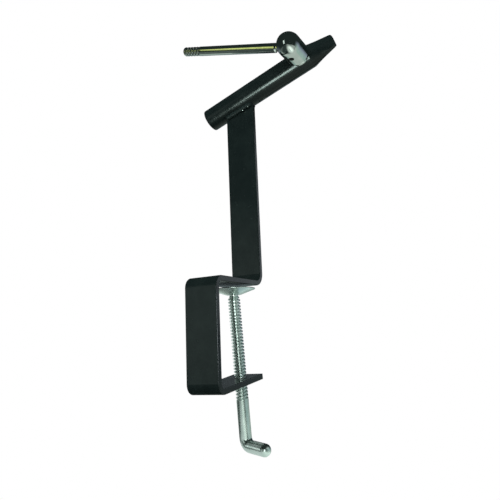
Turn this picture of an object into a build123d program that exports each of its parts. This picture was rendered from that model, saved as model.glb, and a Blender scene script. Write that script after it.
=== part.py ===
"""Fly tying vise: a bent strip clamps to a table edge and carries an inclined split jaw rod with a lever.

The origin is the middle of the table seat, where the clamp screw's axis meets the underside of the upper arm.
X runs to the right along the strip's width, Y runs away from the user, Z is up. Millimetres and degrees.
"""
import os
from math import cos, pi, radians, sin, sqrt, tan

from build123d import *

# Bent strip: lower arm, back, upper arm and stem are one flat bar.
strip_width = 22.0
strip_thickness = 3.5
strip_edge_round = 0.5
strip_corner_round = 1.5
clamp_bend_inside_radius = 3.0
stem_bend_inside_radius = 5.0
throat_depth = 33.0
stem_setback = 17.5
clamp_opening = 61.5
lower_arm_past_screw = 9.6
lower_arm_rise = 5.5

# Jaw rod: a round bar in the plane of the strip's width, sloping up to the right.
rod_diameter = 16.0
rod_slope = 19.0
rod_height = 136.0
tail_length = 27.4
tail_round = 0.6
nose_start = 60.4
tip_reach = 79.6
tip_above_axis = 4.8
tip_below_axis = 3.7
tip_thickness = 2.8
tip_top_round = 2.1
tip_bottom_round = 1.0

# Split of the jaws: the far half is a separate jaw that rocks on a heel rib.
split_start = 13.0
split_end_gap = 0.4
jaw_relief = 0.8
jaw_closed_gap = 0.1
grip_length = 9.0
heel_station = 18.0
heel_radius = 1.2
running_clearance = 0.05

# Fulcrum screw, put in from behind.
fulcrum_station = 26.0
fulcrum_radius = 2.2
fulcrum_depth = 5.5
fulcrum_head_radius = 4.0
fulcrum_head_height = 2.6
fulcrum_head_sunk = 0.6
fulcrum_socket_across = 3.0
fulcrum_socket_depth = 1.4
fulcrum_play = 0.3
fulcrum_hole_clearance = 0.35

# Draw screw and the opening spring round it.
hub_station = 54.4
draw_screw_radius = 3.0
draw_screw_bore_clearance = 0.3
draw_screw_tail = 1.2
draw_screw_chamfer = 0.5
spring_wire_radius = 0.4
spring_mean_radius = 4.3
spring_quarter_turns = 14
spring_pocket_depth = 2.4
spring_pocket_clearance = 0.5
spring_end_clearance = 0.1

# Lever: washer, bullet-shaped hub, grub screw and knurled rod.
hub_flat_depth = 1.8
washer_radius = 6.6
washer_thickness = 1.6
washer_edge_round = 0.4
hub_radius = 8.3
hub_neck_radius = 6.2
hub_neck_length = 2.1
hub_barrel_length = 13.4
hub_edge_chamfer = 0.5
hub_thread_depth = 13.8
lever_offset = 12.0
lever_angle = 14.5
lever_radius = 3.25
lever_reach = 87.7
lever_end_round = 1.5
lever_spigot_radius = 2.4
lever_spigot_start = 4.2
lever_neck = 2.4
lever_neck_chamfer = 0.7
grub_offset = 11.4
grub_angle = 266.0
grub_radius = 2.0
grub_sunk = 0.4
grub_socket_across = 2.0
grub_socket_depth = 1.2

# Clamp screw: thread, plain shank and bent handle from one bar.
screw_radius = 3.9
shank_drop = 39.0
handle_bend_radius = 5.0
handle_reach = 18.8
handle_turn = 24.0
pin_radius = 2.6
pin_head_radius = 3.9
pin_head_height = 1.3
pin_head_round = 0.5

# Swivel pad: pressed conical cup, hung loosely on the screw's headed pin.
pad_rest_gap = 2.05
pad_rim_radius = 14.0
pad_rim_width = 1.6
pad_rim_height = 0.7
pad_neck_radius = 4.4
pad_height = 4.1
pad_floor = 1.3
pad_floor_radius = 5.4
pad_hole_clearance = 0.4
pad_float = 0.5

# Weld at the top of the stem.
weld_bead_radius = 1.9
weld_bead_offset = 0.8
weld_end_setback = 0.4

# Sizes and directions that follow from those above.
rod_radius = rod_diameter / 2
half_width = strip_width / 2
half_strip = strip_thickness / 2
stem_middle = stem_setback + half_strip
rise = radians(lower_arm_rise)
slope = radians(rod_slope)
right = Vector(1, 0, 0)
away = Vector(0, 1, 0)

# The inclined rod: along follows its axis and above is square to it, both in the plane of the strip's width.
along = Vector(cos(slope), 0, sin(slope))
above = Vector(-sin(slope), 0, cos(slope))
rod_origin = Vector(0, stem_middle, rod_height)
rod_axis = Axis(rod_origin, along)
plan_plane = Plane(rod_origin, x_dir=along, z_dir=above)
side_plane = Plane(rod_origin, x_dir=along, z_dir=-away)
section_plane = Plane(rod_origin, x_dir=away, z_dir=along)

# The clamp screw is square to the lower arm, and its handle lies in a plane with its axis.
screw_up = Vector(0, -sin(rise), cos(rise))
screw_plane = Plane((0, 0, 0), x_dir=right, z_dir=screw_up)
handle_way = right.rotate(Axis((0, 0, 0), screw_up), -handle_turn)
handle_plane = Plane((0, 0, 0), x_dir=handle_way, z_dir=handle_way.cross(screw_up))
arm_drop = (clamp_opening - throat_depth * tan(rise)) * cos(rise)
handle_drop = arm_drop + strip_thickness + shank_drop

# The lever's hub points at the user from a flat on the rod.
hub_base = rod_origin + along * hub_station - away * (rod_radius - hub_flat_depth + washer_thickness)
hub_plane = Plane(hub_base, x_dir=right, z_dir=-away)
hub_axis = Axis(hub_base, -away)
lever_way = Vector(-cos(radians(lever_angle)), 0, sin(radians(lever_angle)))
lever_plane = Plane(hub_base - away * lever_offset, z_dir=lever_way)
grub_way = Vector(cos(radians(grub_angle)), 0, sin(radians(grub_angle)))
grub_plane = Plane(hub_base - away * grub_offset, z_dir=grub_way)

os.makedirs("parts", exist_ok=True)


def finish(builder, name):
    """Label a finished piece and write it to its own file."""
    builder.part.label = name
    export_step(builder.part, f"parts/{name}.step")


# Bent strip: a flat section swept along its middle line, from the lower arm's end to the stem's top.
back_middle = -throat_depth - half_strip
lower_corner = -clamp_opening - half_strip / cos(rise) - half_strip * tan(rise)
screw_station = -back_middle * cos(rise) - lower_corner * sin(rise)
lower_arm_reach = screw_station + lower_arm_past_screw
bends_inside = (clamp_bend_inside_radius, clamp_bend_inside_radius, stem_bend_inside_radius)
with BuildPart() as clamp_frame:
    with BuildLine(Plane.YZ) as middle_line:
        FilletPolyline(
            (back_middle + lower_arm_reach * cos(rise), lower_corner + lower_arm_reach * sin(rise)),
            (back_middle, lower_corner),
            (back_middle, half_strip),
            (stem_middle, half_strip),
            (stem_middle, rod_height),
            radius=[inside + half_strip for inside in bends_inside],
        )
    arm_way = middle_line.line % 0
    with BuildSketch(Plane(middle_line.line @ 0, x_dir=right, z_dir=arm_way)):
        Rectangle(strip_width, strip_thickness)
    sweep()
    arm_end = clamp_frame.faces().sort_by(Axis((0, 0, 0), arm_way))[0]
    fillet(arm_end.edges().filter_by(Axis.X, reverse=True), strip_corner_round)
    by_width = clamp_frame.edges().group_by(Axis.X)
    fillet(by_width[0] + by_width[-1], strip_edge_round)
    # The stem's top is coped to the round underside of the rod.
    with BuildSketch(section_plane.offset(-tail_length)):
        Circle(rod_radius)
    extrude(amount=tail_length + split_start, mode=Mode.SUBTRACT)
    # The tapped hole for the clamp screw, at the thread's outer size.
    with BuildSketch(screw_plane.offset(-arm_drop + strip_thickness)):
        Circle(screw_radius + running_clearance)
    extrude(amount=-3 * strip_thickness, mode=Mode.SUBTRACT)
finish(clamp_frame, "clamp_frame")


# Weld: a bead on each side of the stem, in the corner between the strip and the rod.
bead_across = half_strip + weld_bead_offset
bead_below = sqrt(rod_radius**2 - bead_across**2)
bead_start = (-half_width + weld_end_setback - rod_radius * sin(slope)) / cos(slope)
bead_length = (strip_width - 2 * weld_end_setback) / cos(slope)
with BuildPart() as weld_bead:
    with BuildSketch(section_plane.offset(bead_start)):
        with Locations((-bead_across, -bead_below), (bead_across, -bead_below)):
            Circle(weld_bead_radius)
        Circle(rod_radius, mode=Mode.SUBTRACT)
        Rectangle(strip_thickness, 2 * rod_diameter, mode=Mode.SUBTRACT)
    extrude(amount=bead_length)
finish(weld_bead, "weld_bead")


def nosed_bar():
    """The whole round bar with its ground nose, before it is split into two jaws."""
    tip_height = tip_above_axis + tip_below_axis
    tip_middle = (tip_above_axis - tip_below_axis) / 2
    with BuildPart() as bar:
        with BuildSketch(section_plane.offset(-tail_length)):
            Circle(rod_radius)
        extrude(amount=tail_length + nose_start)
        fillet(bar.edges().sort_by(rod_axis)[0], tail_round)
        # The nose is ground from the full round to a thin upright end.
        with BuildSketch(section_plane.offset(nose_start)):
            Circle(rod_radius)
        with BuildSketch(section_plane.offset(tip_reach)):
            with Locations((0, tip_middle)):
                Rectangle(tip_thickness, tip_height)
        loft(ruled=True)
        for which, size in ((0, tip_bottom_round), (-1, tip_top_round)):
            tip = bar.faces().sort_by(rod_axis)[-1]
            fillet(tip.edges().filter_by(Axis.Y).sort_by(Axis.Z)[which], size)
    return bar.part


# Fixed jaw: the bar keeps its whole section at the stem, and only its near half runs on to the tip.
heel_point = (heel_station, jaw_relief)
hub_point = (hub_station, 0)
fulcrum_point = (fulcrum_station, 0)
with BuildPart() as jaw_rod:
    add(nosed_bar())
    with BuildSketch(plan_plane):
        with Locations((split_start, 0)):
            Rectangle(tip_reach, rod_diameter, align=(Align.MIN, Align.MIN))
        with Locations(heel_point):
            Circle(heel_radius + running_clearance)
    extrude(amount=rod_diameter, both=True, mode=Mode.SUBTRACT)
    # A flat on the near side seats the lever's washer, and the draw screw passes through it.
    with BuildSketch(side_plane.offset(rod_radius - hub_flat_depth)):
        with Locations(hub_point):
            Circle(washer_radius + draw_screw_bore_clearance)
    extrude(amount=rod_radius, mode=Mode.SUBTRACT)
    with BuildSketch(side_plane):
        with Locations(hub_point):
            Circle(draw_screw_radius + draw_screw_bore_clearance)
    extrude(amount=rod_radius, mode=Mode.SUBTRACT)
    with BuildSketch(side_plane):
        with Locations(hub_point):
            Circle(spring_mean_radius + spring_wire_radius + spring_pocket_clearance)
    extrude(amount=spring_pocket_depth, mode=Mode.SUBTRACT)
    # Blind tapped hole for the fulcrum screw.
    with BuildSketch(side_plane):
        with Locations(fulcrum_point):
            Circle(fulcrum_radius)
    extrude(amount=fulcrum_depth, mode=Mode.SUBTRACT)
finish(jaw_rod, "jaw_rod")


# Moving jaw: the far half, relieved between its heel rib and the gripping land at the tip.
head_floor = rod_radius - fulcrum_head_sunk - fulcrum_head_height - fulcrum_play
with BuildPart() as moving_jaw:
    add(nosed_bar())
    with BuildSketch(plan_plane):
        Polygon(
            (split_start + split_end_gap, jaw_relief),
            (tip_reach - grip_length - jaw_relief, jaw_relief),
            (tip_reach - grip_length, jaw_closed_gap),
            (tip_reach, jaw_closed_gap),
            (tip_reach, rod_diameter),
            (split_start + split_end_gap, rod_diameter),
            align=None,
        )
        with Locations(heel_point):
            Circle(heel_radius)
    extrude(amount=rod_diameter, both=True, mode=Mode.INTERSECT)
    # Tapped hole for the draw screw with room for the jaw's tilt, and the far pocket of the spring.
    with BuildSketch(side_plane):
        with Locations(hub_point):
            Circle(draw_screw_radius + draw_screw_bore_clearance)
    extrude(amount=-rod_diameter, mode=Mode.SUBTRACT)
    with BuildSketch(side_plane):
        with Locations(hub_point):
            Circle(spring_mean_radius + spring_wire_radius + spring_pocket_clearance)
    extrude(amount=-jaw_relief - spring_pocket_depth, mode=Mode.SUBTRACT)
    # Counterbored hole for the fulcrum screw.
    with BuildSketch(side_plane):
        with Locations(fulcrum_point):
            Circle(fulcrum_radius + fulcrum_hole_clearance)
    extrude(amount=-rod_diameter, mode=Mode.SUBTRACT)
    with BuildSketch(side_plane.offset(-head_floor)):
        with Locations(fulcrum_point):
            Circle(fulcrum_head_radius + fulcrum_hole_clearance)
    extrude(amount=-rod_diameter, mode=Mode.SUBTRACT)
finish(moving_jaw, "moving_jaw")


# Fulcrum screw: socket head, shank through the moving jaw and thread in the fixed one.
head_base = head_floor + fulcrum_play
with BuildPart() as fulcrum_screw:
    with BuildSketch(side_plane.offset(fulcrum_depth)):
        with Locations(fulcrum_point):
            Circle(fulcrum_radius)
    extrude(amount=-fulcrum_depth - head_base)
    with BuildSketch(side_plane.offset(-head_base)):
        with Locations(fulcrum_point):
            Circle(fulcrum_head_radius)
    extrude(amount=-fulcrum_head_height)
    with BuildSketch(side_plane.offset(-head_base - fulcrum_head_height)):
        with Locations(fulcrum_point):
            RegularPolygon(fulcrum_socket_across / 2, 6, major_radius=False)
    extrude(amount=fulcrum_socket_depth, mode=Mode.SUBTRACT)
finish(fulcrum_screw, "fulcrum_screw")


# Draw screw: locked in the hub at its near end, threaded through the moving jaw at its far end.
draw_screw_near = rod_radius - hub_flat_depth + washer_thickness + hub_thread_depth
draw_screw_far = rod_radius + draw_screw_tail
with BuildPart() as draw_screw:
    with BuildSketch(side_plane.offset(-draw_screw_far)):
        with Locations(hub_point):
            Circle(draw_screw_radius)
    extrude(amount=draw_screw_far + draw_screw_near)
    chamfer(draw_screw.edges().sort_by(Axis.Y)[-1], draw_screw_chamfer)
finish(draw_screw, "draw_screw")


# Opening spring: one coil round the draw screw, each quarter turn made of two tangent arcs.
spring_start = spring_pocket_depth - spring_end_clearance - spring_wire_radius
spring_height = spring_start + jaw_relief + spring_start
spring_rise = spring_height / spring_quarter_turns
spring_centre = rod_origin + along * hub_station - away * spring_start


def spring_point(quarter):
    """Point of the coil's middle line after some quarter turns."""
    turn = quarter * pi / 2
    around = along * cos(turn) + above * sin(turn)
    return spring_centre + around * spring_mean_radius + away * (spring_rise * quarter)


def spring_way(quarter):
    """Direction of the coil's middle line after some quarter turns."""
    turn = quarter * pi / 2
    around = above * cos(turn) - along * sin(turn)
    return (around * (spring_mean_radius * pi / 2) + away * spring_rise).normalized()


def arc_joint(start, start_way, end, end_way):
    """Where two tangent arcs meet, and their direction there; they leave start and reach end as directed."""
    chord = end - start
    ways = start_way + end_way
    spread = 2 * (1 - start_way.dot(end_way))
    pull = chord.dot(ways)
    reach = (sqrt(pull**2 + spread * chord.dot(chord)) - pull) / spread
    link = chord - ways * reach
    return start + start_way * reach + link / 2, link.normalized()


with BuildPart() as jaw_spring:
    with BuildLine() as coil:
        for quarter in range(spring_quarter_turns):
            start, start_way = spring_point(quarter), spring_way(quarter)
            end, end_way = spring_point(quarter + 1), spring_way(quarter + 1)
            joint, joint_way = arc_joint(start, start_way, end, end_way)
            TangentArc(start, joint, tangent=start_way)
            TangentArc(joint, end, tangent=joint_way)
    with BuildSketch(Plane(spring_point(0), z_dir=spring_way(0))):
        Circle(spring_wire_radius)
    sweep(path=coil.line)
finish(jaw_spring, "jaw_spring")
print("gap between the spring's turns:", round(4 * spring_rise - 2 * spring_wire_radius, 3))


# Thrust washer between the hub and the flat on the rod.
with BuildPart() as thrust_washer:
    with BuildSketch(hub_plane):
        Circle(washer_radius)
        Circle(draw_screw_radius + draw_screw_bore_clearance, mode=Mode.SUBTRACT)
    extrude(amount=-washer_thickness)
    fillet(thrust_washer.edges().sort_by(Axis.Y)[0:2].sort_by(SortBy.LENGTH)[-1], washer_edge_round)
finish(thrust_washer, "thrust_washer")


# Lever hub: turned barrel with a neck and a round end, bored for the draw screw, lever and grub screw.
dome_centre = hub_neck_length + hub_barrel_length
with BuildPart() as lever_hub:
    with BuildSketch(Plane(hub_base, x_dir=right, z_dir=(0, 0, -1))):
        with BuildLine():
            Polyline(
                (0, dome_centre + hub_radius),
                (0, 0),
                (hub_neck_radius, 0),
                (hub_neck_radius, hub_neck_length),
                (hub_radius - hub_edge_chamfer, hub_neck_length),
                (hub_radius, hub_neck_length + hub_edge_chamfer),
                (hub_radius, dome_centre),
            )
            CenterArc((0, dome_centre), hub_radius, 0, 90)
        make_face()
    revolve(axis=hub_axis)
    with BuildSketch(hub_plane):
        Circle(draw_screw_radius)
    extrude(amount=hub_thread_depth, mode=Mode.SUBTRACT)
    with BuildSketch(lever_plane.offset(lever_spigot_start)):
        Circle(lever_spigot_radius)
    extrude(amount=hub_radius, mode=Mode.SUBTRACT)
    with BuildSketch(grub_plane):
        Circle(grub_radius)
    extrude(amount=2 * hub_radius, mode=Mode.SUBTRACT)
finish(lever_hub, "lever_hub")


# Grub screw: locks the hub on the draw screw, its socket just under the hub's surface.
with BuildPart() as hub_grub_screw:
    with BuildSketch(grub_plane):
        Circle(grub_radius)
    extrude(amount=hub_radius - grub_sunk)
    with BuildSketch(hub_plane):
        Circle(draw_screw_radius)
    extrude(amount=hub_thread_depth, mode=Mode.SUBTRACT)
    with BuildSketch(grub_plane.offset(hub_radius - grub_sunk)):
        RegularPolygon(grub_socket_across / 2, 6, major_radius=False)
    extrude(amount=-grub_socket_depth, mode=Mode.SUBTRACT)
finish(hub_grub_screw, "hub_grub_screw")


# Lever rod: spigot in the hub, short neck, then the full round up to its rounded end.
lever_shoulder = hub_radius + lever_neck
with BuildPart() as lever_rod:
    with BuildSketch(lever_plane.offset(lever_spigot_start)):
        Circle(lever_spigot_radius)
    extrude(amount=lever_shoulder - lever_spigot_start)
    with BuildSketch(lever_plane.offset(lever_shoulder)):
        Circle(lever_radius)
    extrude(amount=lever_reach - lever_shoulder)
    rims = lever_rod.edges().filter_by(GeomType.CIRCLE).sort_by(Axis(hub_base, lever_way))
    chamfer(rims.filter_by(lambda rim: rim.radius > lever_spigot_radius)[0], lever_neck_chamfer)
    fillet(rims[-1], lever_end_round)
finish(lever_rod, "lever_rod")


# Clamp screw: one bar from the pad's pin down to the shank, bent into a handle with a domed end.
pad_bottom = -pad_rest_gap - pad_height
screw_shoulder = pad_bottom / cos(rise) - pad_float
pin_head_base = (pad_bottom + pad_floor) / cos(rise) + pad_float
with BuildPart() as clamp_screw:
    with BuildLine(handle_plane) as bar_line:
        FilletPolyline(
            (0, screw_shoulder),
            (0, -handle_drop),
            (handle_reach, -handle_drop),
            radius=handle_bend_radius,
        )
    with BuildSketch(screw_plane.offset(screw_shoulder)):
        Circle(screw_radius)
    sweep()
    with Locations(bar_line.line @ 1):
        Sphere(screw_radius)
    with BuildSketch(screw_plane.offset(screw_shoulder)):
        Circle(pin_radius)
    extrude(amount=pin_head_base - screw_shoulder)
    with BuildSketch(screw_plane.offset(pin_head_base)):
        Circle(pin_head_radius)
    extrude(amount=pin_head_height)
    fillet(clamp_screw.edges().sort_by(Axis((0, 0, 0), screw_up))[-1], pin_head_round)
finish(clamp_screw, "clamp_screw")


# Swivel pad: a cup that widens to a flat rim, level on the screw's pin, with a hole in its floor for the pin.
pad_pivot = screw_up * ((pad_bottom + pad_floor / 2) / cos(rise))
with BuildPart() as swivel_pad:
    with BuildSketch(Plane((0, pad_pivot.Y, pad_bottom), x_dir=right, z_dir=-away)):
        with BuildLine():
            Polyline(
                (pin_radius + pad_hole_clearance, 0),
                (pad_neck_radius, 0),
                (pad_rim_radius, pad_height - pad_rim_height),
                (pad_rim_radius, pad_height),
                (pad_rim_radius - pad_rim_width, pad_height),
                (pad_floor_radius, pad_floor),
                (pin_radius + pad_hole_clearance, pad_floor),
                close=True,
            )
        make_face()
    revolve(axis=Axis(pad_pivot, (0, 0, 1)))
finish(swivel_pad, "swivel_pad")
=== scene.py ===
"""Fly tying vise: the finish of every piece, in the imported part's own frame, in metres."""
from math import cos, hypot, pi, radians, sin

import bpy
import numpy as np
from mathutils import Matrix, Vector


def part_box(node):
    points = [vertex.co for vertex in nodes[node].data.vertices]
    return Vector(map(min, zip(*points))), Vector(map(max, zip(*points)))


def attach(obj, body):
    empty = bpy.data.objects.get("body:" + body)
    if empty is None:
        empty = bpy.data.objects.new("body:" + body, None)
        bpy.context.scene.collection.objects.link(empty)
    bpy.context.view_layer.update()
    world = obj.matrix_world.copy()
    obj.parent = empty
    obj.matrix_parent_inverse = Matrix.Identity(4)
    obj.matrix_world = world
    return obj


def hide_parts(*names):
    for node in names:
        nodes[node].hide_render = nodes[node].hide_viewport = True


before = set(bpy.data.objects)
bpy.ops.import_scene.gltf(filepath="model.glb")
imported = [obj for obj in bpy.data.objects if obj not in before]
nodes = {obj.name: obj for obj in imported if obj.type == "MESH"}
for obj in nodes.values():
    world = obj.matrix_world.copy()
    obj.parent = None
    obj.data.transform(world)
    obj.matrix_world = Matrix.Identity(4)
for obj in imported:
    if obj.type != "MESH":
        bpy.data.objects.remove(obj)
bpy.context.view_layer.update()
MM = 0.001


# Bent strip: one flat mild-steel bar, sheared to length, bent cold into the C and the stem.
# It is dipped in black semi-gloss enamel after welding, which leaves a thinner, greyer film in patches.
enamel_black = (0.0085, 0.0115, 0.0122, 1)
enamel_thin = (0.0120, 0.0155, 0.0160, 1)
enamel_reflectance = 0.25
enamel_roughness = (0.20, 0.28)
enamel_patch = 11 * MM
enamel_patch_range = (0.42, 0.72)
enamel_gloss_patch = 4 * MM
enamel_peel = 3 * MM
enamel_peel_depth = 0.0015 * MM
noise_range = (0.3, 0.7)


def start_material(name):
    """An empty node material: its node tree, its shader and the surface's own object coordinates."""
    material = bpy.data.materials.new(name)
    material.use_nodes = True
    tree = material.node_tree
    shader = tree.nodes["Principled BSDF"]
    place = tree.nodes.new("ShaderNodeTexCoord").outputs["Object"]
    return material, tree, shader, place


def speckle(tree, place, grain, detail=3.0):
    """Cloudy noise between 0 and 1; grain is the size of a cloud in metres."""
    mapping = tree.nodes.new("ShaderNodeMapping")
    mapping.inputs["Scale"].default_value = (1 / grain, 1 / grain, 1 / grain)
    noise = tree.nodes.new("ShaderNodeTexNoise")
    noise.inputs["Scale"].default_value = 1.0
    noise.inputs["Detail"].default_value = detail
    tree.links.new(place, mapping.inputs["Vector"])
    tree.links.new(mapping.outputs["Vector"], noise.inputs["Vector"])
    return noise.outputs["Fac"]


def spread(tree, value, reach, result=(0, 1)):
    """A value that runs over reach, carried over to the range of result and kept within it."""
    remap = tree.nodes.new("ShaderNodeMapRange")
    for socket, number in zip(remap.inputs[1:5], (*reach, *result)):
        socket.default_value = number
    tree.links.new(value, remap.inputs["Value"])
    return remap.outputs["Result"]


def tint(tree, share, first, second):
    """A colour that goes from first to second, fixed or linked colours, as share goes from 0 to 1."""
    mix = tree.nodes.new("ShaderNodeMix")
    mix.data_type = "RGBA"
    for socket, colour in ((mix.inputs["A"], first), (mix.inputs["B"], second)):
        if isinstance(colour, tuple):
            socket.default_value = colour
        else:
            tree.links.new(colour, socket)
    tree.links.new(share, mix.inputs["Factor"])
    return mix.outputs["Result"]


def relief(tree, shader, height, depth):
    """Fine relief of that depth in metres, laid on the shader's normal."""
    bump = tree.nodes.new("ShaderNodeBump")
    bump.inputs["Distance"].default_value = depth
    tree.links.new(height, bump.inputs["Height"])
    tree.links.new(bump.outputs["Normal"], shader.inputs["Normal"])


def black_enamel():
    """Dipped enamel: faint orange peel, uneven gloss and a thinner, greyer film in patches."""
    material, tree, shader, place = start_material("black_enamel")
    shader.inputs["Specular IOR Level"].default_value = enamel_reflectance
    patches = spread(tree, speckle(tree, place, enamel_patch), enamel_patch_range)
    tree.links.new(tint(tree, patches, enamel_black, enamel_thin), shader.inputs["Base Color"])
    gloss = speckle(tree, place, enamel_gloss_patch, detail=5.0)
    tree.links.new(spread(tree, gloss, noise_range, enamel_roughness), shader.inputs["Roughness"])
    relief(tree, shader, speckle(tree, place, enamel_peel, detail=1.0), enamel_peel_depth)
    return material


def paint(name, material):
    """Give a carried-over node its finish."""
    mesh = nodes[name].data
    mesh.materials.clear()
    mesh.materials.append(material)


enamel = black_enamel()
paint("clamp_frame", enamel)


# Weld bead: a hand-laid fillet weld on each side of the stem, under the jaw rod, painted with the strip.
# Each pool of the weld froze as a small scale over the one before it.
# Two drops of spatter sit bare on the toe of the front bead.
rod_slope = radians(19)
rod_origin = np.array([0, 19.25, 136]) * MM
along = np.array([cos(rod_slope), 0, sin(rod_slope)])
above = np.array([-sin(rod_slope), 0, cos(rod_slope)])
away = np.array([0, 1, 0])
bead_radius = 1.85 * MM
bead_least_radius = 0.02 * MM
bead_across = 2.55 * MM
bead_below = 7.58 * MM
bead_start = -13.9 * MM
bead_length = 22.4 * MM
bead_scales = 15
bead_scale_depth = 0.28 * MM
bead_scale_fall = 1.6
bead_scale_bow = 0.35
bead_wander = 0.05
bead_wander_turn = 21
bead_end_fullness = 14
bead_rows_per_scale = 12
bead_columns = 40
# Each drop in mm: its place along the rod, below and nearer than the rod's axis, and its radius.
spatter_drops = ((0.45, 9.3, 3.3, 0.78), (5.15, 9.4, 3.05, 0.42))
drop_rows = 13
drop_columns = 24
steel_bright = (0.56, 0.58, 0.57, 1)
steel_dull = (0.42, 0.44, 0.43, 1)
cloud_range = (0.35, 0.7)
sharp_edge = radians(38)


def skin(name, rings, material, looped=False):
    """Mesh over rows of points that each run once round; the rows loop, or a point closes each end."""
    rows, columns = rings.shape[:2]
    links = rows if looped else rows - 1
    row, column = np.meshgrid(np.arange(links), np.arange(columns), indexing="ij")
    next_row, next_column = (row + 1) % rows, (column + 1) % columns
    corners = (row * columns + column, row * columns + next_column,
               next_row * columns + next_column, next_row * columns + column)
    faces = np.stack(corners, axis=-1).reshape(-1, 4).tolist()
    points = rings.reshape(-1, 3)
    if not looped:
        around = np.arange(columns)
        beyond = (around + 1) % columns
        first_pole, last_pole = np.full(columns, rows * columns), np.full(columns, rows * columns + 1)
        last = (rows - 1) * columns
        faces += np.stack((first_pole, beyond, around), axis=-1).tolist()
        faces += np.stack((last_pole, last + around, last + beyond), axis=-1).tolist()
        points = np.concatenate((points, rings[:1].mean(axis=1), rings[-1:].mean(axis=1)))
    mesh = bpy.data.meshes.new(name)
    mesh.from_pydata(points.tolist(), [], faces)
    mesh.shade_smooth()
    mesh.set_sharp_from_angle(angle=sharp_edge)
    mesh.materials.append(material)
    piece = bpy.data.objects.new(name, mesh)
    bpy.context.scene.collection.objects.link(piece)
    return piece


def carried(middles, outs, sides, radii):
    """Rings round a path: at turn t, each row's middle plus its radius times (cos t out + sin t side)."""
    columns = radii.shape[1]
    turn = np.arange(columns) * 2 * pi / columns
    spokes = np.cos(turn)[None, :, None] * outs[:, None, :] + np.sin(turn)[None, :, None] * sides[:, None, :]
    return middles[:, None, :] + radii[:, :, None] * spokes


def turned(base, way, out, stations, radii):
    """Rings of a turned form: stations are distances along way from base, and radii are rows by columns."""
    rows = len(stations)
    middles = base + stations[:, None] * way
    outs = np.tile(out, (rows, 1))
    sides = np.tile(np.cross(way, out), (rows, 1))
    return carried(middles, outs, sides, radii)


def weld_rings(side):
    """A bead of scales: its radius steps up at each scale, sinks along it, and closes at both ends."""
    stations = np.linspace(0, 1, bead_scales * bead_rows_per_scale + 1)
    turn = np.arange(bead_columns) * 2 * pi / bead_columns
    bow = bead_scale_bow * np.cos(turn)[None, :]
    scale = (stations[:, None] * bead_scales + bow) % 1
    wander = 1 - bead_wander * np.sin(stations * bead_wander_turn + side)[:, None]
    ends = np.sqrt(np.clip(1 - np.abs(2 * stations - 1) ** bead_end_fullness, 0, 1))[:, None]
    radii = (bead_radius - bead_scale_depth * scale**bead_scale_fall) * wander * ends
    base = rod_origin + along * bead_start - above * bead_below + away * (side * bead_across)
    return turned(base, along, away, stations * bead_length, np.maximum(radii, bead_least_radius))


def worked_metal(name, bright, dull, smooth, rough, grain, relief_depth):
    """Bare or plated metal: clouds of that grain from bright to dull, gloss from smooth to rough in patches
    a third of a cloud wide, and tool marks a sixth of a cloud wide."""
    material, tree, shader, place = start_material(name)
    shader.inputs["Metallic"].default_value = 1.0
    clouds = spread(tree, speckle(tree, place, grain), cloud_range)
    tree.links.new(tint(tree, clouds, bright, dull), shader.inputs["Base Color"])
    gloss = speckle(tree, place, grain / 3, detail=5.0)
    tree.links.new(spread(tree, gloss, noise_range, (smooth, rough)), shader.inputs["Roughness"])
    relief(tree, shader, speckle(tree, place, grain / 6, detail=2.0), relief_depth)
    return material


def drop_rings(station, below, nearer, radius):
    """A ball: at turn t from pole to pole, a ring of radius times cos t stands at radius times sin t."""
    middle = rod_origin + along * station - above * below - away * nearer
    turn = np.linspace(-pi / 2, pi / 2, drop_rows + 2)[1:-1]
    radii = np.tile(radius * np.cos(turn)[:, None], (1, drop_columns))
    return turned(middle, along, away, radius * np.sin(turn), radii)


bright_steel = worked_metal("bright_steel", steel_bright, steel_dull, smooth=0.2, rough=0.34,
                            grain=1.6 * MM, relief_depth=0.006 * MM)
beads = []
for side, name in ((-1, "weld_bead_front"), (1, "weld_bead_back")):
    bead = skin(name, weld_rings(side), enamel)
    beads.append(bead)
    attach(bead, "frame")
    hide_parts("weld_bead")
spatter = []
for number, drop in enumerate(spatter_drops):
    ball = skin(f"weld_spatter_{number}", drop_rings(*(size * MM for size in drop)), bright_steel)
    spatter.append(ball)
    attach(ball, "frame")


# Jaw rod and moving jaw: a 16 mm steel bar, split lengthwise and ground to a blunt nose, then painted.
# The near half is welded to the stem, the far half rocks behind it.
paint("jaw_rod", enamel)
paint("moving_jaw", enamel)


# Fulcrum screw: a shoulder screw with a hexagon socket, put in from behind.
# It is blackened in a hot oxide bath and wiped with oil, which leaves a dull brown-black film.
oxide_black = (0.014, 0.014, 0.015, 1)
oxide_brown = (0.036, 0.031, 0.028, 1)
oxide_metallic = 0.6
oxide_roughness = (0.34, 0.5)
oxide_cloud = 1.8 * MM
oxide_gloss_patch = 0.7 * MM
oxide_mark = 0.4 * MM
oxide_mark_depth = 0.008 * MM


def black_oxide():
    """Oiled oxide film: nearly black steel with brownish clouds, uneven gloss and fine turning marks."""
    material, tree, shader, place = start_material("black_oxide")
    shader.inputs["Metallic"].default_value = oxide_metallic
    clouds = spread(tree, speckle(tree, place, oxide_cloud), cloud_range)
    tree.links.new(tint(tree, clouds, oxide_black, oxide_brown), shader.inputs["Base Color"])
    gloss = speckle(tree, place, oxide_gloss_patch)
    tree.links.new(spread(tree, gloss, noise_range, oxide_roughness), shader.inputs["Roughness"])
    relief(tree, shader, speckle(tree, place, oxide_mark), oxide_mark_depth)
    return material


oxide = black_oxide()
paint("fulcrum_screw", oxide)


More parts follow.
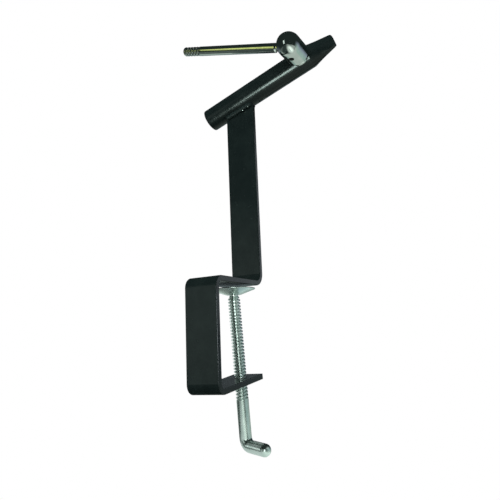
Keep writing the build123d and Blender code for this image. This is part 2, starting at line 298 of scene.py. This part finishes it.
# Draw screw: turned from bright bar, with a rolled M6 thread; its far end shows behind the moving jaw.
# The jaw spring is wound from bright spring wire and sits round it, between the jaws.
hub_station = 54.4 * MM
hub_centre = rod_origin + along * hub_station
draw_screw_far = 9.2 * MM
draw_screw_near = -21.6 * MM
draw_screw_crest = 3.0 * MM
draw_screw_root = 2.45 * MM
draw_screw_pitch = 1.0 * MM
draw_screw_chamfer = 0.5 * MM
draw_screw_rows_per_pitch = 12
draw_screw_columns = 48
root_share = 0.18
flank_share = 0.36


def thread_radius(stations, columns, pitch, root, crest):
    """Right-hand thread: flat crests and roots joined by straight flanks that climb one pitch each turn."""
    turn = np.arange(columns) / columns
    phase = (stations[:, None] / pitch - turn[None, :]) % 1
    flank = np.clip((np.abs(2 * phase - 1) - root_share) / flank_share, 0, 1)
    return root + (crest - root) * flank


def draw_screw_rings():
    """A threaded rod from the hub back to its chamfered far end."""
    length = draw_screw_far - draw_screw_near
    stations = np.linspace(0, length, int(length / draw_screw_pitch * draw_screw_rows_per_pitch) + 1)
    radii = thread_radius(stations, draw_screw_columns, draw_screw_pitch, draw_screw_root, draw_screw_crest)
    chamfer = draw_screw_crest - np.clip(draw_screw_chamfer - (length - stations), 0, None)
    radii = np.minimum(radii, chamfer[:, None])
    return turned(hub_centre + away * draw_screw_near, away, along, stations, radii)


draw_screw = skin("draw_screw_thread", draw_screw_rings(), bright_steel)
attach(draw_screw, "lever")
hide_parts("draw_screw")
paint("jaw_spring", bright_steel)


# Lever hub: turned from bar as a bullet with a neck, drilled across for the lever, then chrome plated.
# A washer under it takes its thrust, and an oxide-black grub screw locks it on the draw screw.
chrome_bright = (0.80, 0.83, 0.81, 1)
chrome_dull = (0.68, 0.72, 0.70, 1)

chrome = worked_metal("chrome_plate", chrome_bright, chrome_dull, smooth=0.08, rough=0.13,
                      grain=6 * MM, relief_depth=0.001 * MM)
paint("lever_hub", chrome)
paint("thrust_washer", chrome)
paint("hub_grub_screw", oxide)


# Lever rod: a chromed round with a thin neck at the hub and a coarse diamond knurl rolled on its far end.
# It is pressed into the hub's side, and its chrome is worn on the knurl.
toward_user = -away
hub_base_distance = 7.8 * MM
lever_height = 12.0 * MM
lever_base = hub_centre + toward_user * (hub_base_distance + lever_height)
lever_angle = radians(14.5)
lever_way = np.array([-cos(lever_angle), 0, sin(lever_angle)])
lever_radius = 3.25 * MM
lever_neck_radius = 2.4 * MM
lever_start = 4.2 * MM
lever_shoulder = 10.7 * MM
lever_neck_chamfer = 0.7 * MM
lever_end = 87.7 * MM
lever_end_round = 1.5 * MM
lever_plain_rows = 30
lever_round_rows = 9
lever_columns = 144
knurl_length = 14.3 * MM
knurl_start = lever_end - knurl_length
knurl_ridges = 9
knurl_pitch = 2.5 * MM
knurl_depth = 0.36 * MM
knurl_flat = 0.2
knurl_hollow = 1.3
knurl_taper = 0.05 * MM
knurl_rows = 110
hair = 0.01 * MM


def quarter_round(centre, radius):
    """Stations and radii that turn from a cylinder's wall into its flat end along a quarter circle."""
    turn = np.linspace(0, pi / 2, lever_round_rows)
    return centre[0] + radius * np.sin(turn), centre[1] + radius * np.cos(turn)


def lever_rings():
    """Neck, shoulder, plain round and knurl: two crossing sets of grooves leave a field of diamonds."""
    round_start = lever_end - lever_end_round
    neck = np.array([lever_start, lever_shoulder])
    shoulder = np.array([lever_shoulder, lever_shoulder + lever_neck_chamfer])
    plain = np.linspace(lever_shoulder + 2 * lever_neck_chamfer, knurl_start, lever_plain_rows)
    knurl = np.linspace(knurl_start, round_start, knurl_rows)[1:]
    end_stations, end_radii = quarter_round(
        (round_start, lever_radius - knurl_taper - lever_end_round), lever_end_round)
    turn = np.arange(lever_columns)[None, :] / lever_columns
    lead = ((knurl - knurl_start) / knurl_pitch)[:, None]
    groove_one = np.abs(2 * ((knurl_ridges * turn + lead) % 1) - 1)
    groove_two = np.abs(2 * ((knurl_ridges * turn - lead) % 1) - 1)
    groove = (np.maximum(groove_one, groove_two) - knurl_flat) / (1 - knurl_flat)
    pits = np.clip(groove, 0, 1) ** knurl_hollow
    taper = lever_radius - knurl_taper * ((knurl - knurl_start) / knurl_length)[:, None]
    fade = np.clip((lever_end - knurl) / (2 * lever_end_round), 0, 1)[:, None]
    stations = np.concatenate((neck, shoulder, plain, knurl, end_stations[1:]))
    flat = np.concatenate((np.full(2, lever_neck_radius),
                           [lever_radius - lever_neck_chamfer, lever_radius],
                           np.full(len(plain), lever_radius)))
    radii = np.concatenate((np.tile(flat[:, None], (1, lever_columns)),
                            taper - knurl_depth * pits * fade,
                            np.tile(end_radii[1:, None], (1, lever_columns))))
    return turned(lever_base, lever_way, toward_user, stations, radii)


worn_chrome = worked_metal("knurled_chrome", chrome_bright, chrome_dull, smooth=0.12, rough=0.20,
                           grain=3 * MM, relief_depth=0.004 * MM)
lever_shape = lever_rings()
lever = skin("lever_rod_knurled", lever_shape, chrome)
lever.data.materials.append(worn_chrome)
lever_stations = (lever_shape.mean(axis=1) - lever_base) @ lever_way
worn_rows = np.repeat(lever_stations[:-1] >= knurl_start - hair, lever_columns)
worn_ends = np.repeat([False, True], lever_columns)
worn_faces = np.concatenate((worn_rows, worn_ends))
lever.data.polygons.foreach_set("material_index", worn_faces.astype(np.int32))
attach(lever, "lever")
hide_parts("lever_rod")


# Clamp screw: one steel bar with a coarse rolled thread, bent hot into a handle with a domed end.
# Its top is turned down to a headed pin for the pad, and all of it is zinc plated.
zinc_bright = (0.66, 0.73, 0.70, 1)
zinc_dull = (0.50, 0.58, 0.55, 1)
arm_rise = radians(5.5)
rightward = np.array([1, 0, 0])
screw_up = np.array([0, -sin(arm_rise), cos(arm_rise)])
screw_down = -screw_up
handle_turn = radians(24)
handle_side = np.cross(screw_up, rightward)
handle_way = cos(handle_turn) * rightward - sin(handle_turn) * handle_side
handle_drop = 100.554 * MM
handle_bend = 5.0 * MM
handle_reach = 18.8 * MM
screw_radius = 3.9 * MM
pin_head_top = 3.072 * MM
pin_head_base = 4.372 * MM
pin_head_round = 0.5 * MM
pin_radius = 2.6 * MM
thread_root = 2.75 * MM
thread_pitch = 2.0 * MM
thread_start = 6.678 * MM
thread_end = 72.4 * MM
thread_runout = 1.6 * MM
thread_rows_per_pitch = 18
crown_rows = 7
shank_rows = 20
bend_rows = 25
handle_rows = 10
dome_rows = 18
screw_columns = 72


def clamp_screw_rings():
    """Pin, thread, shank, bend and handle: circles carried down the axis, round a quarter bend and out."""
    crown = np.linspace(pi / 2, 0, crown_rows)
    head = pin_head_top + pin_head_round * (1 - np.sin(crown))
    head_radii = screw_radius - pin_head_round + pin_head_round * np.cos(crown)
    thread_rows = int((thread_end - thread_start) / thread_pitch * thread_rows_per_pitch) + 1
    threads = np.linspace(thread_start, thread_end, thread_rows)
    rolled = thread_radius(threads, screw_columns, thread_pitch, thread_root, screw_radius)
    runout = np.clip((threads - thread_end + thread_runout) / thread_runout, 0, 1)[:, None]
    lead_in = np.clip((threads - thread_start) / thread_pitch, 0, 1)[:, None]
    rolled = np.maximum(rolled, screw_radius * runout + thread_root * (1 - runout))
    rolled = np.minimum(rolled, screw_radius * lead_in + thread_root * (1 - lead_in))
    shank = np.linspace(thread_end, handle_drop - handle_bend, shank_rows)[1:]
    straight = np.concatenate((head, [pin_head_base, pin_head_base, thread_start], threads, shank))
    bend = np.linspace(0, pi / 2, bend_rows)[1:]
    run = np.linspace(handle_bend, handle_reach, handle_rows)[1:]
    dome = np.linspace(0, pi / 2, dome_rows)[1:-1]
    bend_centre = screw_down * (handle_drop - handle_bend) + handle_way * handle_bend
    out_base = screw_down * handle_drop
    round_bend = np.sin(bend)[:, None] * screw_down - np.cos(bend)[:, None] * handle_way
    middles = np.concatenate((
        straight[:, None] * screw_down,
        bend_centre + handle_bend * round_bend,
        out_base + run[:, None] * handle_way,
        out_base + (handle_reach + screw_radius * np.sin(dome))[:, None] * handle_way,
    ))
    outs = np.concatenate((
        np.tile(handle_way, (len(straight), 1)),
        np.cos(bend)[:, None] * handle_way + np.sin(bend)[:, None] * screw_up,
        np.tile(screw_up, (len(run) + len(dome), 1)),
    ))
    sides = np.tile(np.cross(screw_down, handle_way), (len(middles), 1))
    pin_radii = np.concatenate((head_radii, [screw_radius, pin_radius, pin_radius]))
    plain_radii = np.concatenate((np.full(len(shank) + len(bend) + len(run), screw_radius),
                                  screw_radius * np.cos(dome)))
    radii = np.concatenate((np.tile(pin_radii[:, None], (1, screw_columns)), rolled,
                            np.tile(plain_radii[:, None], (1, screw_columns))))
    return carried(middles, outs, sides, radii)


zinc = worked_metal("zinc_plate", zinc_bright, zinc_dull, smooth=0.23, rough=0.31,
                    grain=5 * MM, relief_depth=0.002 * MM)
clamp_screw = skin("clamp_screw_threaded", clamp_screw_rings(), zinc)
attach(clamp_screw, "screw")
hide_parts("clamp_screw")


# Swivel pad: a shallow cone pressed from zinc-plated sheet, with a flat rim.
# It hangs loosely on the screw's headed pin, so that it can lie flat against a table.
upward = np.array([0, 0, 1])
pad_low, pad_high = (np.array(corner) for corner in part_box("swivel_pad"))
pad_axis = (pad_low + pad_high) / 2
pad_hole = 3.0 * MM
pad_neck = 4.4 * MM
pad_floor = 1.3 * MM
pad_floor_radius = 5.4 * MM
pad_rim = 14.0 * MM
pad_rim_width = 1.6 * MM
pad_rim_height = 0.7 * MM
pad_edge_round = 0.3 * MM
pad_edge_rows = 5
pad_columns = 128
most_of_edge = 0.45


def rounded_loop(corners, radius):
    """A closed outline whose corners are curves from edge to edge, pulled to the corner; each curve takes
    up a length like its radius, and at most a share of the shorter edge."""
    corners = np.asarray(corners)
    before, after = np.roll(corners, 1, axis=0) - corners, np.roll(corners, -1, axis=0) - corners
    before_length = np.linalg.norm(before, axis=1, keepdims=True)
    after_length = np.linalg.norm(after, axis=1, keepdims=True)
    reach = np.minimum(radius, most_of_edge * np.minimum(before_length, after_length))
    enter, leave = corners + before / before_length * reach, corners + after / after_length * reach
    share = np.linspace(0, 1, pad_edge_rows)[None, :, None]
    curve = (enter[:, None] * (1 - share) ** 2 + 2 * corners[:, None] * share * (1 - share)
             + leave[:, None] * share**2)
    return curve.reshape(-1, 2)


def pad_rings():
    """A pressed cup: its rounded section, from the hole out along the cone to the rim and back inside."""
    height = pad_high[2] - pad_low[2]
    section = rounded_loop((
        (pad_hole, 0), (pad_neck, 0), (pad_rim, height - pad_rim_height), (pad_rim, height),
        (pad_rim - pad_rim_width, height), (pad_floor_radius, pad_floor), (pad_hole, pad_floor),
    ), pad_edge_round)
    base = np.array([pad_axis[0], pad_axis[1], pad_low[2]])
    radii = np.tile(section[:, :1], (1, pad_columns))
    return turned(base, upward, rightward, section[:, 1], radii)


pad = skin("swivel_pad_pressed", pad_rings(), zinc, looped=True)
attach(pad, "pad")
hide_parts("swivel_pad")


# Floor: a plain pale round plinth below the vise's lowest pose, white to the camera but for a faint shadow.
# Above it lies a sheet that only reflections show: bright on the right, dim on the left.
floor_height = -0.165
floor_radius = 0.55
floor_colour = (0.62, 0.70, 0.66, 1)
floor_roughness = 0.9
shadow_share = 0.10
shadow_radius = 0.12
sheet_height = -0.122
sheet_glow = (1.10, 1.26, 1.14, 1)
sheet_dim = (0.035, 0.050, 0.046, 1)
# Each ramp of the sheet: where it starts and ends, and its share of the glow at both.
ramp_right = ((-0.01, 0.12), (0, 1))
ramp_far_right = ((0.20, 0.30), (1, 0.3))
ramp_front = ((-0.36, -0.14), (0.25, 1))
ramp_back = ((0.02, 0.16), (1, 0.42))
ramp_far_left = ((-0.40, -0.25), (0.07, 0))
ramp_behind = ((0.05, 0.15), (0, 0.40))
disc_thickness = 0.004
disc_columns = 96


def axes(tree, place):
    """The X, Y and Z of a place, each a value of its own."""
    parts = tree.nodes.new("ShaderNodeSeparateXYZ")
    tree.links.new(place, parts.inputs["Vector"])
    return parts.outputs


def reckoned(tree, operation, first, *others):
    """Values joined one after another by that operation, such as MULTIPLY or MAXIMUM."""
    for other in others:
        step = tree.nodes.new("ShaderNodeMath")
        step.operation = operation
        tree.links.new(first, step.inputs[0])
        tree.links.new(other, step.inputs[1])
        first = step.outputs["Value"]
    return first


def either(tree, share, first, second):
    """A shader that goes from first to second as share goes from 0 to 1."""
    blend = tree.nodes.new("ShaderNodeMixShader")
    for socket, source in zip(blend.inputs, (share, first, second)):
        tree.links.new(source, socket)
    return blend.outputs["Shader"]


def show(material, tree, shader):
    """Make a shader the material's surface; its own shine isn't sampled as a lamp."""
    material.cycles.emission_sampling = "NONE"
    tree.links.new(shader, tree.nodes["Material Output"].inputs["Surface"])


def pale_floor():
    """Matt and pale to the lamps; white to the camera and to metal, but for the shadow under the vise."""
    material, tree, shader, place = start_material("pale_floor")
    shader.inputs["Base Color"].default_value = floor_colour
    shader.inputs["Roughness"].default_value = floor_roughness
    distance = tree.nodes.new("ShaderNodeVectorMath")
    distance.operation = "LENGTH"
    tree.links.new(place, distance.inputs[0])
    shadow_reach = (abs(floor_height), hypot(floor_height, shadow_radius))
    plain = spread(tree, distance.outputs["Value"], shadow_reach, (1 - shadow_share, 1))
    path = tree.nodes.new("ShaderNodeLightPath").outputs
    seen = reckoned(tree, "MAXIMUM", path["Is Camera Ray"], path["Is Glossy Ray"],
                    path["Is Transmission Ray"])
    white = tree.nodes.new("ShaderNodeEmission").outputs["Emission"]
    whiteness = reckoned(tree, "MULTIPLY", seen, plain)
    show(material, tree, either(tree, whiteness, shader.outputs["BSDF"], white))
    return material


def sheet_share(tree, axis):
    """The sheet's glow: full near the right front, less behind, hardly any on the left."""
    near_right = reckoned(tree, "MULTIPLY",
                          spread(tree, axis["X"], *ramp_right), spread(tree, axis["X"], *ramp_far_right),
                          spread(tree, axis["Y"], *ramp_front), spread(tree, axis["Y"], *ramp_back))
    far_left = spread(tree, axis["X"], *ramp_far_left)
    behind = spread(tree, axis["Y"], *ramp_behind)
    return reckoned(tree, "MAXIMUM", near_right, far_left, behind)


def glowing(name, dim, bright, share_of):
    """A surface that shines by itself, from dim to bright by the share that share_of finds."""
    material, tree, _, place = start_material(name)
    shine = tree.nodes.new("ShaderNodeEmission")
    colour = tint(tree, share_of(tree, axes(tree, place)), dim, bright)
    tree.links.new(colour, shine.inputs["Color"])
    show(material, tree, shine.outputs["Emission"])
    return material


def disc(name, height, material):
    """A flat round disc whose top lies at that height."""
    rings = turned(height * upward, -upward, rightward,
                   np.array([0, disc_thickness]), np.full((2, disc_columns), floor_radius))
    return skin(name, rings, material)


def only_in_reflections(piece):
    """Show a piece of the studio in reflections alone: not to the camera, no shadow, no bounced light."""
    piece.visible_camera = False
    piece.visible_diffuse = False
    piece.visible_shadow = False


floor = disc("floor", floor_height, pale_floor())
sheet = disc("sheet", sheet_height, glowing("glowing_sheet", sheet_dim, sheet_glow, sheet_share))
only_in_reflections(sheet)


# Card: a low board on edge to the right of the screw, seen in reflections alone.
# It shines by itself, dim at its front end and grey at its back, and the zinc shows this glow as a dark band
# next to a grey one.
card_side = 0.10
card_thickness = 0.002
card_front, card_back = -0.115, 0.08
card_foot, card_top = -0.121, -0.052
# The card's own glow: dim at its front end, grey at its back end; it lights nothing and is only reflected.
card_dim_glow = (0.07, 0.10, 0.095, 1)
card_glow = (0.40, 0.53, 0.52, 1)
card_glow_reach = (-0.03, -0.005)


def card_rings():
    """A flat board: its outline seen from above, at the height of its foot and again at its top."""
    far_side = card_side + card_thickness
    outline = np.array([(card_side, card_front), (far_side, card_front),
                        (far_side, card_back), (card_side, card_back)])
    heights = np.array([card_foot, card_top])[:, None, None]
    return np.concatenate((np.tile(outline, (2, 1, 1)), np.tile(heights, (1, 4, 1))), axis=2)


def card_share(tree, axis):
    """The share of the card's grey glow: none at its front end, full at its back end."""
    return spread(tree, axis["Y"], card_glow_reach)


card = skin("card", card_rings(), glowing("glowing_card", card_dim_glow, card_glow, card_share))
only_in_reflections(card)


# World: white to the camera, and to all else a dark room.
# Low behind the vise the room has a pale wall, greener downwards, and low on its left a dim grey side.
room_white = (1, 1, 1, 1)
room_dark = (0.016, 0.024, 0.022, 1)
wall_green = (0.36, 0.50, 0.44, 1)
wall_blue = (0.26, 0.31, 0.38, 1)
side_grey = (0.10, 0.125, 0.125, 1)
# Each ramp of the room: the direction's part at its start and end, and the share at both.
wall_behind = ((-0.1, 0.5), (0, 1))
wall_low = ((-0.02, 0.28), (1, 0))
wall_rightward = ((-0.7, -0.1), (0.6, 1))
wall_upward = ((-0.35, 0.05), (0, 1))
side_leftward = ((-0.75, -0.35), (1, 0))
side_behind = ((-0.4, 0.1), (0, 1))
side_low = ((-0.35, -0.05), (1, 0))


def studio_room(tree):
    """Direction decides the colour: the wall's and the side's shares are products of their ramps."""
    axis = axes(tree, tree.nodes.new("ShaderNodeTexCoord").outputs["Generated"])
    wall_share = reckoned(tree, "MULTIPLY", spread(tree, axis["Y"], *wall_behind),
                          spread(tree, axis["Z"], *wall_low), spread(tree, axis["X"], *wall_rightward))
    side_share = reckoned(tree, "MULTIPLY", spread(tree, axis["X"], *side_leftward),
                          spread(tree, axis["Y"], *side_behind), spread(tree, axis["Z"], *side_low))
    wall = tint(tree, spread(tree, axis["Z"], *wall_upward), wall_green, wall_blue)
    room = tint(tree, wall_share, tint(tree, side_share, room_dark, side_grey), wall)
    path = tree.nodes.new("ShaderNodeLightPath").outputs
    seen = tint(tree, path["Is Camera Ray"], room, room_white)
    tree.links.new(seen, tree.nodes["Background"].inputs["Color"])


world = bpy.data.worlds.new("studio")
world.use_nodes = True
studio_room(world.node_tree)
bpy.context.scene.world = world


# Lamps: soft panels, hidden from the camera, most of them set for one finish alone.
# The paint has strips, windows and side panels, the zinc low panels, the chrome a window and narrow beams.
# Wide fills from the front, behind and above light what is matt.
mint = (0.78, 1.0, 0.92)
daylight = (0.86, 1.0, 0.93)
pale_mint = (0.90, 1.0, 0.96)
sky = (0.86, 0.95, 1.0)
blue_sky = (0.62, 0.88, 1.0)
warm = (0.90, 1.0, 0.33)
steep_lamp = 0.2


def lamp(name, place, target, size, radiance, colour, beam=180, in_gloss=True, in_diffuse=True, only=()):
    """Soft rectangular lamp aimed at target; radiance is its brightness, where 1 is white; beam is its
    spread in degrees, and only lists the pieces that it lights, or is empty for all."""
    light = bpy.data.lights.new(name, "AREA")
    light.shape = "RECTANGLE"
    light.size, light.size_y = size
    light.energy = radiance * pi * size[0] * size[1]
    light.color = colour
    light.spread = radians(beam)
    back = np.subtract(place, target)
    back = back / np.linalg.norm(back)
    right = np.cross(upward, back)
    # A lamp that looks nearly straight up or down keeps its side along X.
    if np.linalg.norm(right) < steep_lamp:
        right = rightward
    right = right / np.linalg.norm(right)
    matrix = np.eye(4)
    matrix[:3] = np.stack((right, np.cross(back, right), back, place), axis=1)
    holder = bpy.data.objects.new(name, light)
    holder.matrix_world = matrix.T.tolist()
    holder.visible_camera = False
    holder.visible_glossy = in_gloss
    holder.visible_diffuse = in_diffuse
    if only:
        lit = bpy.data.collections.new(name + "_lit")
        for piece in only:
            lit.objects.link(piece)
        holder.light_linking.receiver_collection = lit
    bpy.context.scene.collection.objects.link(holder)


bent_strip = nodes["clamp_frame"]
bars = [nodes["jaw_rod"], nodes["moving_jaw"]]
painted = [bent_strip, *bars, *beads]
plated = [clamp_screw, pad]
hub = [nodes["lever_hub"], nodes["thrust_washer"], nodes["hub_grub_screw"]]
vise_middle = (0.0, 0.0, 0.06)

# Paint and hub
for radiance, pieces in ((37.0, [*bars, *spatter]), (3.5, beads)):
    lamp("strip", (0.09, -0.25, -0.093), (0.05, 0.01, 0.14), (0.19, 0.075), radiance, mint,
         in_diffuse=False, only=pieces)
lamp("edge_light", (0.38, -0.21, -0.045), (0.011, -0.036, -0.045), (0.28, 0.14), 15.0, sky,
     in_diffuse=False, only=[bent_strip])
lamp("arm_glow", (-0.235, 0.46, 0.058), (0.0, 0.04, -0.062), (0.24, 0.14), 0.10, sky,
     in_diffuse=False, only=[bent_strip])
lamp("weld_fill", (0.06, -0.26, -0.04), (0.0, 0.02, 0.13), (0.30, 0.20), 4.0, mint,
     in_gloss=False, only=beads)
lamp("window", (-0.45, -0.78, 0.01), (0.0, 0.0, 0.01), (0.38, 0.46), 0.75, daylight,
     only=[*painted, *plated])
lamp("hub_window", (-0.24, -0.86, 0.16), (0.05, -0.02, 0.15), (0.18, 0.44), 1.0, daylight, only=hub)
lamp("side_glow", (0.295, 0.52, 0.17), (0.0, 0.0, 0.17), (0.22, 0.34), 1.0, sky, only=painted)

# Zinc
low_lamps = (
    ("low_front", (0.25, -0.43, -0.04), (0.0, 0.0, -0.04), (0.19, 0.20), 4.2),
    ("low_floor", (-0.012, -0.06, -0.119), (-0.012, -0.06, 1.0), (0.125, 0.20), 0.70),
    ("low_right", (0.30, 0.02, 0.04), (0.0, 0.02, 0.04), (0.40, 0.32), 0.52),
    ("low_left", (-0.24, 0.12, 0.02), (0.0, 0.0, 0.02), (0.36, 0.32), 0.40),
    ("low_near_left", (-0.25, -0.04, -0.058), (0.0, -0.04, -0.058), (0.18, 0.07), 1.15),
)
for name, place, target, size, radiance in low_lamps:
    lamp(name, place, target, size, radiance, pale_mint, only=plated)
lamp("pad_glow", (0.0, 0.19, -0.119), (0.0, 0.19, 1.0), (0.11, 0.28), 0.38, blue_sky, only=[pad])

# Lever
lever_middle = np.array([0.0, -0.02, 0.185])
beam_bearing = radians(32)
beam_tilts = (radians(-24), radians(-8), radians(8))
beam_distance = 0.39
for tilt in beam_tilts:
    beam_way = np.array([-sin(beam_bearing) * cos(tilt), -cos(beam_bearing) * cos(tilt), sin(tilt)])
    lamp("lever_beam", lever_middle + beam_distance * beam_way, lever_middle, (0.18, 0.11), 0.016, warm,
         beam=20, only=[lever])
knurl_middle = lever_base + lever_way * (lever_end - knurl_length / 2)
knurl_lamp = knurl_middle + np.array([0.036, -0.285, -0.045])
lamp("knurl_beam", knurl_lamp, knurl_middle, (0.14, 0.14), 0.05, pale_mint, beam=30, only=[lever])

# Fills
lamp("back_fill", (-0.2, 0.7, 0.35), vise_middle, (0.8, 0.6), 3.0, mint, in_gloss=False, only=painted)
lamp("fill", (0.1, -0.6, 0.42), vise_middle, (0.8, 0.6), 3.8, mint, in_gloss=False)
lamp("ceiling", (0.0, -0.1, 0.9), vise_middle, (0.8, 0.8), 2.0, mint, in_gloss=False)


# Camera: low in front and to the right, looking slightly up, as in the photograph.
# Its lens and shift are worked out from the photograph's focal length and optical centre, in pixels.
image_size = 500
focal_pixels = 515.87
centre_pixel = (295.25, 237.41)
camera_place = np.array([175.11, -287.70, -34.19]) * MM
camera_yaw, camera_pitch, camera_roll = radians(24.12), radians(10.78), radians(-3.33)

level = np.array([cos(camera_yaw), sin(camera_yaw), 0])
forward = np.array([-sin(camera_yaw), cos(camera_yaw), 0])
look = forward * cos(camera_pitch) + upward * sin(camera_pitch)
upright = np.cross(level, look)
camera_matrix = np.eye(4)
camera_matrix[:3, 0] = level * cos(camera_roll) + upright * sin(camera_roll)
camera_matrix[:3, 1] = upright * cos(camera_roll) - level * sin(camera_roll)
camera_matrix[:3, 2] = -look
camera_matrix[:3, 3] = camera_place
camera = bpy.data.cameras.new("camera")
camera.sensor_width = 36
camera.lens = camera.sensor_width * focal_pixels / image_size
camera.shift_x = (image_size / 2 - centre_pixel[0]) / image_size
camera.shift_y = (centre_pixel[1] - image_size / 2) / image_size
camera.clip_start = 0.01
viewer = bpy.data.objects.new("camera", camera)
viewer.matrix_world = camera_matrix.T.tolist()
bpy.context.scene.collection.objects.link(viewer)
bpy.context.scene.camera = viewer
bpy.context.scene.view_settings.view_transform = "Standard"
